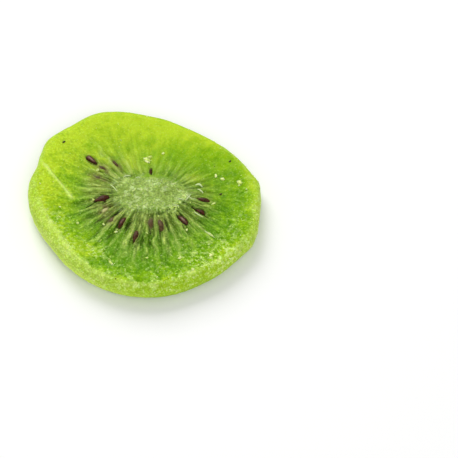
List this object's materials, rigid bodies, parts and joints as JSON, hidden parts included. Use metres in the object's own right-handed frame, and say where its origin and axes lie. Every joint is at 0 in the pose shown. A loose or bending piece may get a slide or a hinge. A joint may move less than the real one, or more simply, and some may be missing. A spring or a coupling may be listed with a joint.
{
  "type": "dried kiwi slice",
  "caption": "Flat, uneven round of sugared dried kiwi fruit with a pale oval core, radial walls and a ring of small sunken seeds.",
  "frame": {"origin": "under the middle of the slice's box, on the surface that it rests on", "axes": "+Z through the slice's thickness, up from the resting face; +X along the core's length"},
  "size_m": [0.0502, 0.0486, 0.0061],
  "materials": {
    "flesh": "translucent, moist, with a fine sugar grain",
    "seed": "glossy dark red-brown",
    "sugar": "pale translucent crystals"
  },
  "bodies": {
    "root": {"kiwi_slice": "flesh"}
  },
  "joints": []
}
